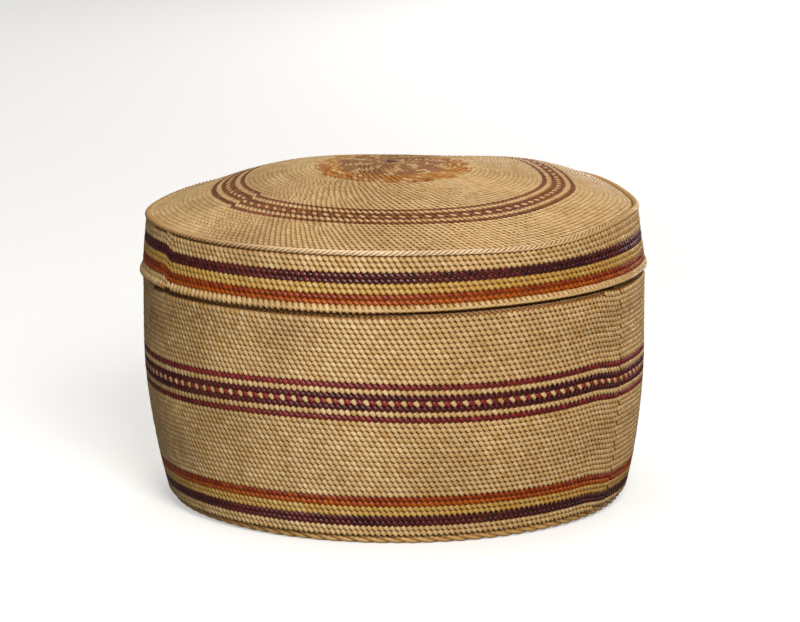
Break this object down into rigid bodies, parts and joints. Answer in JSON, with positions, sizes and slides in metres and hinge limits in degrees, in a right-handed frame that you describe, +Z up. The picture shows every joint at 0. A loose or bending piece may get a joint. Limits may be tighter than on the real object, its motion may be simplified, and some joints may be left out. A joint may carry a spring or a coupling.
{
  "type": "lidded twined basket",
  "caption": "Round lidded basket in wrapped twining, with dyed stripes on wall, lid and crown; the lid sits over a neck and lifts off.",
  "frame": {"origin": "centre of the foot, on the plane the basket stands on", "axes": "+Z up through the middle of the crown; -Y towards the front of the picture"},
  "size_m": [0.1414, 0.1414, 0.094],
  "materials": {
    "natural_grass": "wrapped twining in plain straw-coloured grass, soft sheen",
    "aged_grass": "twining in darker, handled grass, nearly matt",
    "split_bark": "split inner bark in flat strips, matt",
    "purple_grass": "twining in purple-dyed grass, soft sheen",
    "yellow_grass": "twining in yellow-dyed grass, soft sheen",
    "orange_grass": "twining in orange-dyed grass, soft sheen",
    "red_grass": "twining in red-dyed grass, soft sheen",
    "maroon_grass": "twining in dark maroon grass, soft sheen",
    "dotted_grass": "twining that takes plain and red grass by turns",
    "faded_red_grass": "twining in faded red-brown grass, nearly matt",
    "faded_dotted_grass": "twining that takes plain and faded red-brown grass by turns",
    "rosette_grass": "twining in faded red-brown, purple and plain grass"
  },
  "bodies": {
    "basket": {"base_start_mat": "split_bark", "base_inner_courses": "aged_grass", "base_outer_courses": "aged_grass", "foot_cord": "aged_grass", "basket_warps": "split_bark", "foot_natural_courses": "natural_grass", "lower_purple_courses": "purple_grass", "lower_yellow_courses": "yellow_grass", "lower_orange_courses": "orange_grass", "lower_field_courses": "natural_grass", "band_lower_red_course": "red_grass", "band_lower_natural_course": "natural_grass", "band_lower_maroon_course": "maroon_grass", "band_dotted_course": "dotted_grass", "band_upper_maroon_course": "maroon_grass", "band_upper_natural_course": "natural_grass", "band_upper_red_course": "red_grass", "upper_field_courses": "natural_grass", "shoulder_course": "natural_grass", "neck_courses": "aged_grass", "rim_braid": "aged_grass"},
    "lid": {"lid_edge_braid": "natural_grass", "lid_edge_course": "natural_grass", "skirt_orange_courses": "orange_grass", "skirt_yellow_courses": "yellow_grass", "skirt_purple_courses": "purple_grass", "skirt_natural_courses": "natural_grass", "corner_cord": "natural_grass", "rosette_centre_courses": "rosette_grass", "rosette_whirl_courses": "rosette_grass", "rosette_edge_courses": "orange_grass", "crown_inner_field_courses": "natural_grass", "crown_inner_line_course": "faded_red_grass", "crown_inner_natural_course": "natural_grass", "crown_inner_maroon_course": "faded_red_grass", "crown_dotted_course": "faded_dotted_grass", "crown_outer_maroon_course": "faded_red_grass", "crown_outer_natural_course": "natural_grass", "crown_outer_line_course": "faded_red_grass", "crown_outer_field_courses": "natural_grass", "lid_warps": "split_bark"}
  },
  "joints": [
    {"name": "lid_lift", "type": "slide", "parent": "basket", "child": "lid", "axis": [0, 0, 1], "range_m": [0, 0.08]}
  ]
}
